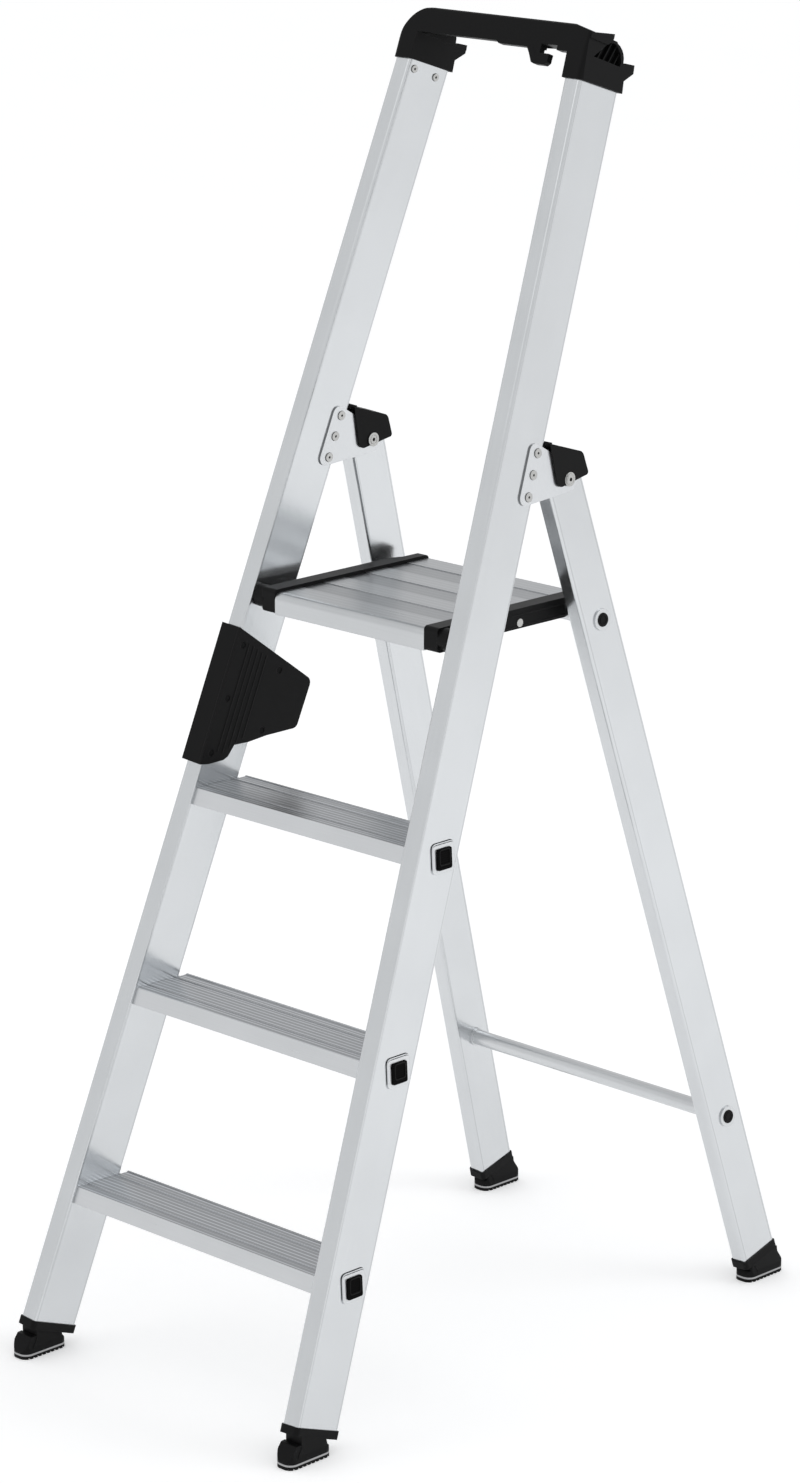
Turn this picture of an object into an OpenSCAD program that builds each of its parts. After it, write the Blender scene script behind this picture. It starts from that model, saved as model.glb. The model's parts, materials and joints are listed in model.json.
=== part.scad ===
// Platform step ladder: a front frame with three box steps, a rear frame that
// folds on two hinge bolts, and a platform that swings up between the stiles.
// X is sideways (positive = right when facing the steps), Y runs from the
// climbing side to the back, Z is up. The floor is Z = 0. Millimetres.

/* [Heights] */

// Height of the lowest tread above the floor
first_step_z = 205.6; // [203:0.2:208]
// Distance from one tread to the next
step_rise = 235.4; // [234.5:0.1:236.5]
// Height of the platform deck above the top tread
platform_rise = 235.8; // [235:0.1:236.5]

/* [Front frame] */

// Lean of the front frame from the vertical, degrees
front_lean = 20.48; // [20.4:0.02:20.6]
// Inward lean of each stile towards the top, degrees
front_taper = 3.28; // [3.2:0.02:3.4]
// Sideways distance from the middle to a stile at the floor
front_half_span = 230.7; // [230:0.1:232]
// Width of a stile, sideways
stile_w = 25; // [24.8:0.1:25.2]
// Depth of a stile, front to back
stile_d = 69.5; // [68:0.5:71]
// Wall of the stile profile
stile_wall = 2; // [1.6:0.1:2.4]

/* [Rear frame] */

// Lean of the rear frame from the vertical, degrees
rear_lean = 16.43; // [16.35:0.01:16.5]
// Inward lean of each rear leg towards the top, degrees
rear_taper = 3.49; // [3.4:0.01:3.55]
// Width of a rear leg, sideways
leg_w = 22; // [21.6:0.1:22.2]
// Depth of a rear leg, front to back
leg_d = 57.5; // [56:0.5:59]
// Wall of the rear leg profile
leg_wall = 1.8; // [1.5:0.1:2.2]
// Radius of the two round crossbars
bar_r = 10; // [9.5:0.1:10.2]

/* [Steps and platform] */

// Depth of a tread, front to back
tread_depth = 80.8; // [78:0.2:82]
// Half width of the platform deck
deck_half = 124.5; // [123:0.5:124.5]
// Length of the platform deck, front to back
deck_len = 260; // [258:0.5:261]

/* [Fits] */

// Radial running clearance at the hinge and platform bolts
run_gap = 0.06; // [0.03:0.01:0.09]
// Gap around parts that are pushed into or over each other
fit_gap = 0.15; // [0.1:0.01:0.2]

/* [Hidden] */

$fn = 64;
far = 400;

// Along each frame, distance from the floor to the frame's own zero
front_lift = 2.56;
rear_lift = 6.56;

// Hinge axis in front frame coordinates: behind the front plane, along the stile
hinge_t = 120.5;
hinge_s = 1183.3;
hinge_y = (hinge_s + front_lift) * sin(front_lean) + hinge_t * cos(front_lean);
hinge_z = (hinge_s + front_lift) * cos(front_lean) - hinge_t * sin(front_lean);
hinge_x = front_half_span - hinge_s * tan(front_taper);
hinge_along = hinge_s / cos(front_taper);

// The rear leg centre line (leg_mid behind its front face) runs through the hinge
leg_mid = 31.5;
hinge_leg_s = (hinge_z - leg_mid * sin(rear_lean)) / cos(rear_lean) - rear_lift;
frame_gap = hinge_y + (hinge_leg_s + rear_lift) * sin(rear_lean) - leg_mid * cos(rear_lean);
rear_half_span = hinge_x + hinge_leg_s * tan(rear_taper);

// Soles, from each frame's front line at the floor; the footprint is centred
sole_len = 68.5;
sole_w = 28;
front_toe = 2.5;
rear_heel = 65.5;
front_y0 = -(frame_gap + rear_heel + front_toe) / 2;
rear_y0 = front_y0 + frame_gap;

hinge = [hinge_x, front_y0 + hinge_y, hinge_z];

// Steps
step_count = 3;
tread_set_back = 5.6;
tread_plate = 3;
lip_drop = 19;
rear_lip_drop = 14;
lip_wall = 2.4;
rib_count = 4;
rib_w = 7.1;
rib_pitch = 14.2;
rib_start = 17.6;
rib_h = 0.8;
box_y = 20;
box_w = 29;
box_h = 30;
box_wall = 2.2;
box_r = 4;
collar_side = 4.2;
collar_rise = 2.2;
collar_t = 2;
plug_proud = 2;
plug_depth = 14;

// Hinge
plate_t = 2;
bolt_r = 5;
bolt_head_r = 8.6;
cheek_in = 15.7;
cheek_out = 17.3;
head_seat = 16.6;
head_end = 18.8;
leg_top = 20;

// Crossbars, measured along the rear leg
lower_bar_s = 221.8;
upper_bar_s = 913.7;
bar_wall = 1.6;

// Platform
deck_z = first_step_z + (step_count - 1) * step_rise + platform_rise;
deck_front_y = front_y0 + 340.5;
deck_drop = 26.2;
rail_in = 124.7;
rail_out = 146.5;
rail_out_end = 139.5;
rail_top = deck_z + 3.7;
rail_bottom = deck_z - 20.5;
rail_end_y = deck_front_y + deck_len + 3;
pivot_y = deck_front_y + 13;
pivot_z = deck_z - 10.7;
boss_r = 13.5;
boss_out = 161.3;

// Feet
collar_h = 10;
front_collar_s = 39.2;
rear_collar_s = 13;
sole_h = 6.5;
sole_r = 11;

// ---------------------------------------------------------------- frames

// Front frame coordinates: x sideways, y behind the front plane, z along the frame
module front_frame() {
  translate([0, front_y0, 0]) rotate([-front_lean, 0, 0])
    translate([0, 0, front_lift]) children();
}

module rear_frame() {
  translate([0, rear_y0, 0]) rotate([rear_lean, 0, 0])
    translate([0, 0, rear_lift]) children();
}

// Coordinates of the right stile, x measured from its centre, outwards
module on_stile() {
  front_frame() translate([front_half_span, 0, 0]) rotate([0, -front_taper, 0]) children();
}

module on_leg() {
  rear_frame() translate([rear_half_span, 0, 0]) rotate([0, -rear_taper, 0]) children();
}

module left_side() {
  mirror([1, 0, 0]) children();
}

module both_sides() {
  children();
  left_side() children();
}

// ---------------------------------------------------------------- shapes

// Pushes a Y-Z outline along x
module along_x(x0, x1) {
  translate([x0, 0, 0]) rotate([90, 0, 90]) linear_extrude(height = x1 - x0) children();
}

// Pushes an X-Z outline along y
module along_y(y0, y1) {
  translate([0, y1, 0]) rotate([90, 0, 0]) linear_extrude(height = y1 - y0) children();
}

// Rectangle with round corners, corner of the rectangle at the origin
module round_rect(w, h, r) {
  translate([r, 0]) square([w - 2 * r, h]);
  translate([0, r]) square([w, h - 2 * r]);
  for (x = [r, w - r], y = [r, h - r]) translate([x, y]) circle(r);
}

// The same, centred
module round_rect_mid(w, h, r) {
  translate([-w / 2, -h / 2]) round_rect(w, h, r);
}

// Angle that faces outwards across the outer tangent from circle a to circle b
function tangent_side(a, b) =
  let (run = [b[0] - a[0], b[1] - a[1]])
  atan2(run[1], run[0]) - acos((a[2] - b[2]) / norm(run));

// A band stretched round circles [x, y, radius] listed anticlockwise
module band(circles) {
  count = len(circles);
  steps = 12;
  polygon([
    for (i = [0 : count - 1])
      let (
        c = circles[i],
        start = tangent_side(circles[(i + count - 1) % count], c),
        turn = (tangent_side(c, circles[(i + 1) % count]) - start + 720) % 360
      )
      for (k = [0 : steps])
        let (a = start + turn * k / steps)
        [c[0] + c[2] * cos(a), c[1] + c[2] * sin(a)]
  ]);
}

// Round hole or pin along x through the point at = [y, z]
module bore_x(r, at, x0, x1) {
  translate([x0, at[0], at[1]]) rotate([0, 90, 0]) cylinder(h = x1 - x0, r = r);
}

// ---------------------------------------------------------------- stiles

function tread_z(n) = first_step_z + (n - 1) * step_rise;
function tread_y(n) = front_y0 + tread_z(n) * tan(front_lean) + tread_set_back;
function box_mid(n) = [tread_y(n) + box_y + box_w / 2, tread_z(n) - box_h / 2];

stile_foot_s = 41.7;
stile_top_s = 1652;
tray_rivets_at = [[11, 1623.5], [49.5, 1623.5]];
plate_rivets_at = [[58.8, 1202.3], [58.8, 1176.2], [58.8, 1149.8]];
pad_screws_at = [[8, 904], [8, 837.5], [8, 768.5]];
pad_rear_screws_at = [[79.6, 885.5], [80.3, 809.5]];

module stile_section(grow = 0) {
  r = 3.5 + grow;
  translate([-stile_w / 2 - grow, -grow])
    round_rect(stile_w + 2 * grow, stile_d + 2 * grow, max(r, 1));
}

module stile() {
  color("#d2d4d8")
  difference() {
    on_stile() difference() {
      translate([0, 0, stile_foot_s])
        linear_extrude(height = stile_top_s - stile_foot_s) difference() {
          stile_section();
          stile_section(-stile_wall);
        }
      for (p = plate_rivets_at) bore_x(2.45, p, -far, far);
      for (p = tray_rivets_at) bore_x(2.45, p, -far, 0);
    }
    for (n = [1 : step_count])
      translate([0, box_mid(n)[0], box_mid(n)[1]])
        along_x(0, far) round_rect_mid(box_w + 0.2, box_h + 0.2, box_r + 0.1);
    bore_x(bolt_r + 0.1, [pivot_y, pivot_z], 0, hinge_x + 10);
  }
}

module stile_right() stile();

// The left stile also takes the grip pad screws
module stile_left() {
  left_side() difference() {
    stile();
    on_stile() for (p = pad_screws_at) bore_x(2, p, -far, 0);
  }
}

// ---------------------------------------------------------------- steps

// Tread profile, its front top edge at the origin
module tread_profile() {
  lip_back = lip_drop * tan(front_lean);
  translate([0, -tread_plate]) square([tread_depth, tread_plate - rib_h]);
  polygon([
    [0, 0],
    [lip_wall * 4, 0],
    [lip_wall * 4, -tread_plate],
    [lip_wall, -tread_plate],
    [lip_wall - lip_back, -lip_drop],
    [-lip_back, -lip_drop]
  ]);
  translate([tread_depth - lip_wall, -rear_lip_drop]) square([lip_wall, rear_lip_drop]);
  for (i = [0 : rib_count - 1])
    translate([rib_start + i * rib_pitch, -tread_plate]) square([rib_w, tread_plate]);
}

module box_outer() {
  round_rect_mid(box_w, box_h, box_r);
}

// Room inside the box, made smaller all round by gap
module box_inner(gap = 0) {
  shrink = 2 * (box_wall + gap);
  round_rect_mid(box_w - shrink, box_h - shrink, 2.6);
}

// Everything sideways of x = depth in the stile's own coordinates
module outside_stile(depth) {
  on_stile() translate([depth, -far, -far]) cube([far, 2 * far, 6 * far]);
}

module step(n) {
  color("#b4b6ba")
  difference() {
    union() {
      difference() {
        translate([0, tread_y(n), tread_z(n)])
          along_x(-far, far) tread_profile();
        both_sides() outside_stile(-stile_w / 2 - fit_gap);
      }
      translate([0, box_mid(n)[0], box_mid(n)[1]])
        along_x(-far, far) box_outer();
      both_sides() intersection() {
        outside_stile(stile_w / 2 + 0.02);
        translate([0, box_mid(n)[0], box_mid(n)[1]])
          along_x(0, far)
            round_rect_mid(box_w + 2 * collar_side, box_h + 2 * collar_rise, box_r + collar_rise);
      }
    }
    translate([0, box_mid(n)[0], box_mid(n)[1]])
      along_x(-far, far) box_inner();
    both_sides() outside_stile(stile_w / 2 + collar_t);
  }
}

module step_1() step(1);
module step_2() step(2);
module step_3() step(3);

// Black plugs that close the ends of the step boxes
module step_plugs() {
  color("#1d1d1e")
  both_sides() for (n = [1 : step_count]) {
    difference() {
      translate([0, box_mid(n)[0], box_mid(n)[1]])
        along_x(0, far) box_inner(fit_gap);
      outside_stile(stile_w / 2 + collar_t + plug_proud);
      on_stile() translate([stile_w / 2 - plug_depth - far, -far, -far])
        cube([far, 2 * far, 6 * far]);
    }
  }
}

// ---------------------------------------------------------------- hinge

// Hinge plate outline in stile coordinates: two rivet corners and the bolt eye
module plate_outline() {
  band([[54, 1148, 9.5], [hinge_t, hinge_along, 16], [54, 1203, 9.5]]);
}

// The plate lies on one face of the stile; off is its inner x
module hinge_plate(off) {
  color("#cfd1d5")
  difference() {
    on_stile() difference() {
      along_x(off, off + plate_t) plate_outline();
      for (p = plate_rivets_at) bore_x(2.45, p, -far, far);
    }
    bore_x(bolt_r + run_gap, [hinge[1], hinge[2]], 0, far);
  }
}

module hinge_plate_right_outer() hinge_plate(stile_w / 2 + 0.02);
module hinge_plate_right_inner() hinge_plate(-stile_w / 2 - plate_t - 0.02);
module hinge_plate_left_outer() left_side() hinge_plate_right_outer();
module hinge_plate_left_inner() left_side() hinge_plate_right_inner();

// A rivet along the stile's x: flat heads with a small dimple, solid shank
module rivet(p, half, head_r, head_t) {
  difference() {
    union() {
      bore_x(2.4, p, -half, half);
      bore_x(head_r, p, half + 0.02, half + head_t);
      bore_x(head_r, p, -half - head_t, -half - 0.02);
      bore_x(2.4, p, -half - head_t, half + head_t);
    }
    bore_x(1.5, p, half + head_t - 1, half + head_t + 1);
    bore_x(1.5, p, -half - head_t - 1, -half - head_t + 1);
  }
}

module plate_rivets() {
  color("#c2c4c8")
  both_sides() on_stile() for (p = plate_rivets_at)
    rivet(p, stile_w / 2 + plate_t + 0.02, 5.6, 1.2);
}

// Thin washers between the plates and the rear leg
module hinge_washers() {
  color("#e4e4e0")
  both_sides() difference() {
    on_stile() for (side = [-1, 1])
      translate([side * (stile_w / 2 - 0.5), 0, 0]) along_x(-0.48, 0.48)
        translate([hinge_t, hinge_along]) circle(9);
    bore_x(bolt_r + run_gap, [hinge[1], hinge[2]], 0, far);
  }
}

// Hinge bolt: round heads on both ends of a plain shank along X
module hinge_bolts() {
  color("#b9b8b2")
  both_sides() difference() {
    union() {
      bore_x(bolt_r, [hinge[1], hinge[2]], hinge_x - head_end, hinge_x + head_end);
      for (side = [-1, 1]) {
        mid = hinge_x + side * (head_seat + head_end) / 2;
        half = (head_end - head_seat) / 2;
        bore_x(bolt_head_r, [hinge[1], hinge[2]], mid - half + 0.05, mid + half - 1.2);
        bore_x(bolt_head_r - 1.6, [hinge[1], hinge[2]], mid - half + 0.05, mid + half);
      }
    }
    bore_x(2.2, [hinge[1], hinge[2]], 0, hinge_x - head_end + 2.5);
    bore_x(2.2, [hinge[1], hinge[2]], hinge_x + head_end - 2.5, far);
  }
}

// Cap over the top of a rear leg. Outline about the hinge bolt, y and z upright:
// lobe under the bolt, lower rear corner, upper rear corner, upper front corner
cap_circles = [[-14.5, 1.2, 9], [28.5, 3.5, 3.5], [16, 20.5, 10], [-29.5, 42.5, 2.5]];
cap_wall = 1.8;

module cap_outline(inset = 0) {
  band([for (c = cap_circles) [c[0], c[1], c[2] - inset]]);
}

// Room inside the cap, open towards the front and below
module cap_room() {
  polygon([
    [-70, -60], [30, -60], [30, 4], [23.8, 23], [21.8, 26.3],
    [18.4, 28.3], [-24.5, 41.7], [-70, 41.7]
  ]);
}

// Tilts x the way the stile side faces are tilted, about the hinge
module at_hinge() {
  translate(hinge) rotate([-front_lean, 0, 0]) rotate([0, -front_taper, 0])
    rotate([front_lean, 0, 0]) children();
}

module hinge_cap() {
  spigot_gap = leg_wall + fit_gap;
  color("#1b1b1c")
  difference() {
    union() {
      at_hinge() difference() {
        along_x(-cheek_out, cheek_out) cap_outline();
        along_x(-cheek_in, cheek_in) cap_room();
      }
      // tongue of the roof that rests against the stile when the ladder is open
      at_hinge() along_x(-12.3, 12.3) polygon([
        [-24, 40.6], [-24, 45.6], [-35.6, 49], [-37.2, 44.2]
      ]);
      // lid over the open end of the leg and the spigot inside it
      on_leg() translate([0, 0, leg_end_s]) {
        translate([-leg_w / 2, 0, fit_gap]) cube([leg_w, leg_d - 4, 2]);
        translate([-leg_w / 2 + spigot_gap, 4, -6])
          cube([leg_w - 2 * spigot_gap, leg_d - 8, 7.4]);
      }
      // core from the lid into the middle of the roof
      intersection() {
        on_leg() translate([1 - leg_w / 2, 14, leg_end_s + 0.7])
          cube([leg_w - 2, leg_d - 18, 30]);
        at_hinge() along_x(-far, far) cap_outline(cap_wall / 2);
      }
    }
    bore_x(bolt_r + 0.2, [hinge[1], hinge[2]], 0, far);
    // flat seats for the bolt heads
    bore_x(bolt_head_r + 0.3, [hinge[1], hinge[2]], hinge_x + head_seat, far);
    bore_x(bolt_head_r + 0.3, [hinge[1], hinge[2]], 0, hinge_x - head_seat);
  }
}

module hinge_cap_right() hinge_cap();
module hinge_cap_left() left_side() hinge_cap();

// ---------------------------------------------------------------- rear frame

function leg_point(s) = [
  rear_y0 - (s + rear_lift) * sin(rear_lean) + leg_mid * cos(rear_lean),
  (s + rear_lift) * cos(rear_lean) + leg_mid * sin(rear_lean)
];

leg_foot_s = 15.5;

module leg_section(grow = 0) {
  translate([-leg_w / 2 - grow, -grow])
    round_rect(leg_w + 2 * grow, leg_d + 2 * grow, max(3 + grow, 1));
}

leg_end_s = hinge_leg_s / cos(rear_taper) + leg_top;

module leg() {
  color("#d2d4d8")
  difference() {
    on_leg() translate([0, 0, leg_foot_s]) linear_extrude(height = leg_end_s - leg_foot_s) difference() {
      leg_section();
      leg_section(-leg_wall);
    }
    bore_x(bolt_r + 0.1, [hinge[1], hinge[2]], 0, far);
    for (s = [lower_bar_s, upper_bar_s])
      bore_x(bar_r + 0.1, leg_point(s), 0, far);
  }
}

module leg_right() leg();
module leg_left() left_side() leg();

module outside_leg(depth) {
  on_leg() translate([depth, -far, -far]) cube([far, 2 * far, 5 * far]);
}

// Round crossbar, flared over the outside of both legs
module crossbar(s) {
  color("#c9cbcf")
  difference() {
    union() {
      bore_x(bar_r, leg_point(s), -far, far);
      both_sides() intersection() {
        outside_leg(leg_w / 2 + 0.02);
        bore_x(bar_r + 3.2, leg_point(s), 0, far);
      }
      // inner bead where the bar is swaged against the leg
      both_sides() difference() {
        bore_x(bar_r + 1.6, leg_point(s), 0, far);
        outside_leg(-leg_w / 2 - 0.1);
        on_leg() translate([-leg_w / 2 - 3.5 - far, -far, -far]) cube([far, 2 * far, 5 * far]);
      }
    }
    bore_x(bar_r - bar_wall, leg_point(s), -far, far);
    both_sides() outside_leg(leg_w / 2 + collar_t);
  }
}

module crossbar_upper() crossbar(upper_bar_s);
module crossbar_lower() crossbar(lower_bar_s);

module crossbar_plugs() {
  color("#1d1d1e")
  both_sides() for (s = [lower_bar_s, upper_bar_s]) difference() {
    bore_x(bar_r - bar_wall - fit_gap, leg_point(s), 0, far);
    outside_leg(leg_w / 2 + collar_t + 1);
    on_leg() translate([leg_w / 2 - 12 - far, -far, -far]) cube([far, 2 * far, 5 * far]);
  }
}

// ---------------------------------------------------------------- platform

bar_notch = leg_point(upper_bar_s);

module deck_profile() {
  wall = 2.6;
  round_r = 9;
  band_w = 36;
  // nose: upright front with a round top edge
  difference() {
    union() {
      translate([0, -deck_drop]) square([round_r, deck_drop - round_r]);
      translate([round_r, -round_r]) circle(round_r);
      translate([round_r, -deck_drop]) square([wall, deck_drop]);
    }
    translate([round_r, -round_r]) circle(round_r - wall);
    translate([wall, -deck_drop + wall]) square([round_r, deck_drop - round_r - wall]);
    translate([round_r, -deck_drop + wall]) square([wall, deck_drop - 2 * wall]);
  }
  // deck plate with shallow broad planks
  plank_h = 0.8;
  translate([round_r, -wall - plank_h]) square([deck_len - round_r, wall]);
  for (i = [0 : 3]) {
    plank_y = round_r + i * 2 * band_w;
    translate([plank_y, -wall]) square([min(band_w, deck_len - plank_y), wall]);
  }
  // ribs under the deck and the rear lip
  for (y = [70, 140]) translate([y, -16]) square([2, 14]);
  translate([deck_len - wall, -16]) square([wall, 14]);
}

module deck() {
  color("#a9abaf")
  translate([0, deck_front_y, deck_z])
    along_x(-deck_half, deck_half) deck_profile();
}

// Side rail outline from the side: round front corners, notch over the crossbar
module rail_outline() {
  difference() {
    translate([deck_front_y, rail_bottom - 5.5])
      round_rect(rail_end_y - deck_front_y, rail_top - rail_bottom + 5.5, 5);
    // the front is deeper than the rest
    translate([deck_front_y + 34, rail_bottom - 10]) square([far, 10]);
    translate(bar_notch) circle(bar_r + 0.7);
    translate([bar_notch[0], bar_notch[1]]) polygon([
      [-bar_r - 0.7, 3],
      [bar_r + 0.7, 0],
      [bar_r + 3, -12],
      [-bar_r - 5.6, -12]
    ]);
  }
}

rail_rivet_at = [deck_front_y + 139, deck_z - 13.7];

module rail() {
  color("#1c1c1d")
  difference() {
    union() {
      along_x(rail_in, rail_out) rail_outline();
      bore_x(boss_r, [pivot_y, pivot_z], rail_out - 1, boss_out);
    }
    // narrower end that clears the hinge when the platform swings up
    translate([0, rail_end_y - 30, 0]) linear_extrude(height = 4 * far) polygon([
      [rail_out + 1, -16],
      [rail_out, -16],
      [rail_out_end, 0],
      [rail_out_end, 60],
      [rail_out + 1, 60]
    ]);
    // hollow underside
    translate([rail_in + 4, deck_front_y + 60, rail_bottom - 1]) cube([14, 66, 16]);
    bore_x(bolt_r + run_gap, [pivot_y, pivot_z], 0, far);
    bore_x(9.4, [pivot_y, pivot_z], 0, rail_in + 6);
    bore_x(2.9, rail_rivet_at, 0, far);
    bore_x(5.2, rail_rivet_at, rail_out - 2, rail_out + 5);
  }
}

module rail_right() rail();
module rail_left() left_side() rail();

// Rivets that tie the deck's side rails to their end lugs
module rail_rivets() {
  color("#c6c7ca")
  both_sides() {
    bore_x(2.8, rail_rivet_at, rail_in + 0.5, rail_out - 1);
    bore_x(5, rail_rivet_at, rail_out - 1.95, rail_out + 0.6);
  }
}

// Platform pivot bolt: flat head inside the rail, threaded end inside the stile
module pivot_bolts() {
  color("#9a9c9f")
  both_sides() {
    bore_x(9, [pivot_y, pivot_z], rail_in + 0.6, rail_in + 5.8);
    bore_x(bolt_r, [pivot_y, pivot_z], rail_in + 0.6, hinge_x + 9);
  }
}

// Flanged nut inside the stile
module pivot_nuts() {
  color("#9a9c9f")
  both_sides() difference() {
    bore_x(9, [pivot_y, pivot_z], hinge_x + 3.6, hinge_x + 9.6);
    bore_x(bolt_r + 0.05, [pivot_y, pivot_z], 0, far);
  }
}

// ---------------------------------------------------------------- top tray

tray_top = 1694;
tray_bottom = 1630;
tray_half = 152.6;
tray_arm_in = 123.4;
tray_arm_in_top = 121.5;

// Front view of the tray: round left shoulder, chamfered right shoulder
module tray_front_outline() {
  polygon(concat(
    [[-tray_arm_in, tray_bottom], [-tray_half, tray_bottom]],
    [for (i = [0 : 12])
      let (a = 180 - 7.5 * i)
      [-104.5 + 46 * cos(a), 1648 + 46 * sin(a)]],
    [[124, tray_top], [149.3, 1688], [tray_half, tray_bottom], [tray_arm_in, tray_bottom]],
    [[tray_arm_in_top, 1660.5], [12, 1660.5], [8, 1663.5], [-tray_arm_in_top, 1663.5]]
  ));
}

// Side view of the tray: flat top, rear edge falling away, small rear ledge
module tray_side_outline() {
  polygon(concat(
    [[-3, tray_bottom], [74, tray_bottom + 3], [72, 1647.5], [86, 1660], [85, 1670], [69, 1668]],
    [for (i = [0 : 5])
      let (a = 15 * i)
      [43 + 22 * cos(a), 1667 + 20 * sin(a)]],
    [[42, tray_top], [-1, tray_top], [-3, tray_top - 2]]
  ));
}

// Plan of the tray across the stiles, with round front corners
module tray_plan() {
  corner = 7;
  translate([-tray_half, -3]) round_rect(2 * tray_half, 40, corner);
  translate([-tray_half, 10]) square([2 * tray_half, 80]);
}

module tray_hook_outline() {
  polygon([
    [55, 1664], [63, 1654], [70, 1643], [75, 1641.5], [91, 1641.5], [95, 1645],
    [95, 1655], [82, 1655], [80, 1657], [80, 1664]
  ]);
}

// Three-sided pocket in the right end, with the slanting ribs that stand in it
module tray_end_recess() {
  difference() {
    along_x(141.5, 170) polygon([
      [12, 1661], [35, 1684.5], [46, 1684.5], [51, 1681.5], [57, 1676], [61, 1667], [60, 1661.5]
    ]);
    for (t = [20, 30, 40, 50])
      along_x(141, 147) polygon([[t, 1655], [t + 1.8, 1655], [t + 13.8, 1690], [t + 12, 1690]]);
  }
}

// Rim that rises to the rear above the pocket and ends in a sharp corner
module tray_end_rim() {
  along_x(137, 151.5) polygon([[-1, 1680], [-1, 1686.5], [37.5, 1694.7], [38, 1689], [34, 1680]]);
}

// Everything below the bridge between the arms, whose underside rises to the rear
module below_bridge() {
  along_x(-tray_arm_in_top + 0.5, tray_arm_in_top - 0.5)
    polygon([[8, 1600], [8, 1663], [66, 1677], [100, 1677], [100, 1600]]);
}

module top_tray() {
  color("#1b1b1c")
  difference() {
    front_frame() difference() {
      union() {
        intersection() {
          along_y(-10, 100) tray_front_outline();
          along_x(-200, 200) tray_side_outline();
          translate([0, 0, 1600]) linear_extrude(height = 120) tray_plan();
        }
        along_y(-3, 5) tray_hook_outline();
        tray_end_rim();
      }
      // shallow tool tray in the top
      translate([-100, 3, tray_top - 12]) linear_extrude(height = 50) round_rect(205, 52, 8);
      tray_end_recess();
      // opening above the hook
      translate([80, -10, 1655]) cube([25, 120, 11]);
      // the ledge is only on the arms
      translate([-121, 68, 1600]) cube([242, 60, 120]);
      // hollow underside of the bridge
      translate([-116, 6, 1650]) cube([166, 52, tray_top - 15 - 1650]);
      below_bridge();
    }
    both_sides() on_stile() translate([0, 0, 1500])
      linear_extrude(height = stile_top_s + 0.5 - 1500) stile_section(fit_gap);
  }
}

// Blind rivets in the stiles' inner faces, below the tray arms
module tray_rivets() {
  head_r = 4.6;
  head_t = 1.4;
  face = -stile_w / 2;
  color("#a7a9ad")
  both_sides() on_stile() for (p = tray_rivets_at) difference() {
    union() {
      bore_x(head_r, p, face - head_t, face - 0.02);
      bore_x(2.4, p, face - head_t, face + 6);
    }
    bore_x(1.5, p, face - head_t - 1, face - head_t + 1);
  }
}

// ---------------------------------------------------------------- grip pad

pad_t = 4;
pad_rear_block = 86;

// Pad outline in stile coordinates: wing to the rear, stepped lower edge
module pad_outline() {
  polygon([
    [-4.5, 752], [10, 755], [31, 763.5], [37, 769], [42, 784.5],
    [64, 792], [90, 804.5], [100, 860], [90, 897.5], [-4.5, 923.5]
  ]);
  band([[87, 812, 8], [128.5, 828.5, 8.5], [128.5, 877, 9.5], [88, 888.3, 9.5]]);
}

module pad_inner_body() {
  along_x(-stile_w / 2 - pad_t, -stile_w / 2 - 0.05) pad_outline();
}

module grip_pad_inner() {
  color("#1e1e1f")
  left_side() on_stile() difference() {
    pad_inner_body();
    for (p = concat(pad_screws_at, pad_rear_screws_at)) {
      bore_x(2.1, p, -far, 0);
      bore_x(4.2, p, -far, -stile_w / 2 - 1.8);
    }
  }
}

module grip_pad_outer() {
  x_in = -stile_w / 2 - 0.05;
  x_out = stile_w / 2 + pad_t;
  color("#1e1e1f")
  left_side() on_stile() difference() {
    intersection() {
      along_x(x_in, x_out) pad_outline();
      translate([-50, -50, 0]) cube([100, 50 + pad_rear_block, 2000]);
    }
    linear_extrude(height = 2000) stile_section(0.1);
    translate([x_in - 5, stile_d - 6, 0]) cube([stile_w / 2 + 5, 6.1, 2000]);
    translate([x_in - 5, -0.1, 0]) cube([stile_w / 2 + 5, 8, 2000]);
    for (p = pad_rear_screws_at) bore_x(2, p, -far, 6);
  }
}

module pad_screws() {
  color("#131314")
  left_side() on_stile() {
    for (p = pad_screws_at) {
      bore_x(1.9, p, -stile_w / 2 - 3.4, -stile_w / 2 + stile_wall + 3);
      bore_x(3.9, p, -stile_w / 2 - 3.4, -stile_w / 2 - 1.9);
    }
    for (p = pad_rear_screws_at) {
      bore_x(1.9, p, -stile_w / 2 - 3.4, 4);
      bore_x(3.9, p, -stile_w / 2 - 3.4, -stile_w / 2 - 1.9);
    }
  }
}

// ---------------------------------------------------------------- feet

// Plan of a foot from y0 to y1 about a leg centre
module foot_plan(y0, y1) {
  translate([-sole_w / 2, y0]) round_rect(sole_w, y1 - y0, sole_r);
}

// Toothed rubber sole
module sole(y0, y1) {
  teeth = 9;
  pitch = (y1 - y0 - 8) / teeth;
  color("#161617")
  difference() {
    linear_extrude(height = sole_h - 0.05) foot_plan(y0, y1);
    for (i = [0 : teeth - 1])
      translate([-far / 2, y0 + 6 + i * pitch, -1]) cube([far, pitch * 0.45, 3.2]);
  }
}

front_foot_x = front_half_span - 12 * tan(front_taper);
rear_foot_x = rear_half_span - 12 * tan(rear_taper);

module front_sole() {
  translate([front_foot_x, front_y0, 0]) sole(front_toe, sole_len + front_toe);
}

module rear_sole() {
  translate([rear_foot_x, rear_y0, 0]) sole(rear_heel - sole_len, rear_heel);
}

module front_sole_right() front_sole();
module front_sole_left() left_side() front_sole();
module rear_sole_right() rear_sole();
module rear_sole_left() left_side() rear_sole();

// Front view of a foot: a little wider at the sole
module foot_flare() {
  half = sole_w / 2;
  polygon([
    [-half, 0], [half, 0], [half, 8.5], [half - 1, 14], [half - 1, 60],
    [1 - half, 60], [1 - half, 14], [-half, 8.5]
  ]);
}

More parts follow.
